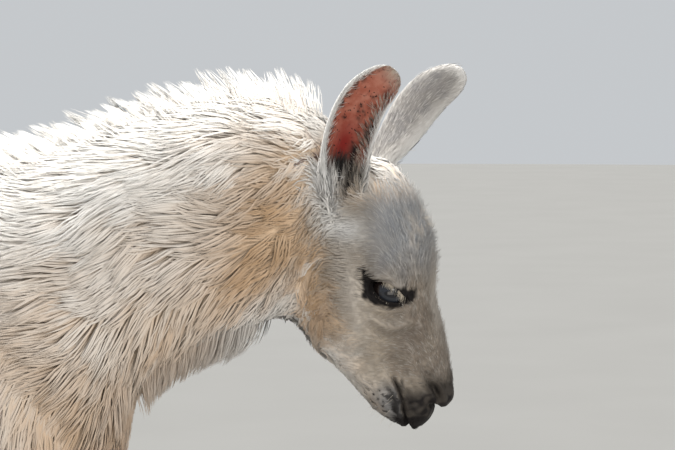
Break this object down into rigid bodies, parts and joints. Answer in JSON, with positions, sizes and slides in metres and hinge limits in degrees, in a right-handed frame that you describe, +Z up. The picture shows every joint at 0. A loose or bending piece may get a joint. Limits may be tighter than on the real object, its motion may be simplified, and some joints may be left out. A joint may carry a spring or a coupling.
{
  "type": "llama model",
  "caption": "Still, life-size model of a cream-white llama standing with its neck stretched forward and its head hanging down.",
  "frame": {"origin": "on the floor, under the middle of the animal's length and width", "axes": "+X forward toward the nose, +Y toward the animal's left, +Z up"},
  "size_m": [1.608, 0.5066, 1.2329],
  "materials": {
    "wool": "long soft cream-white wool in fine locks",
    "short_coat": "short smooth off-white hair",
    "eye": "wet dark eye",
    "horn": "dark horn"
  },
  "bodies": {
    "root": {"trunk": "wool", "neck": "wool", "tail": "wool", "foreleg_right": "wool", "foreleg_left": "wool", "hindleg_right": "wool", "hindleg_left": "wool", "forefoot_right": "short_coat", "forefoot_left": "short_coat", "hindfoot_right": "short_coat", "hindfoot_left": "short_coat", "head": "short_coat", "lower_jaw": "short_coat", "ear_right": "short_coat", "ear_left": "short_coat", "eye_right": "eye", "eye_left": "eye", "nail_fore_right_outer": "horn", "nail_fore_right_inner": "horn", "nail_fore_left_outer": "horn", "nail_fore_left_inner": "horn", "nail_hind_right_outer": "horn", "nail_hind_right_inner": "horn", "nail_hind_left_outer": "horn", "nail_hind_left_inner": "horn"}
  },
  "joints": []
}
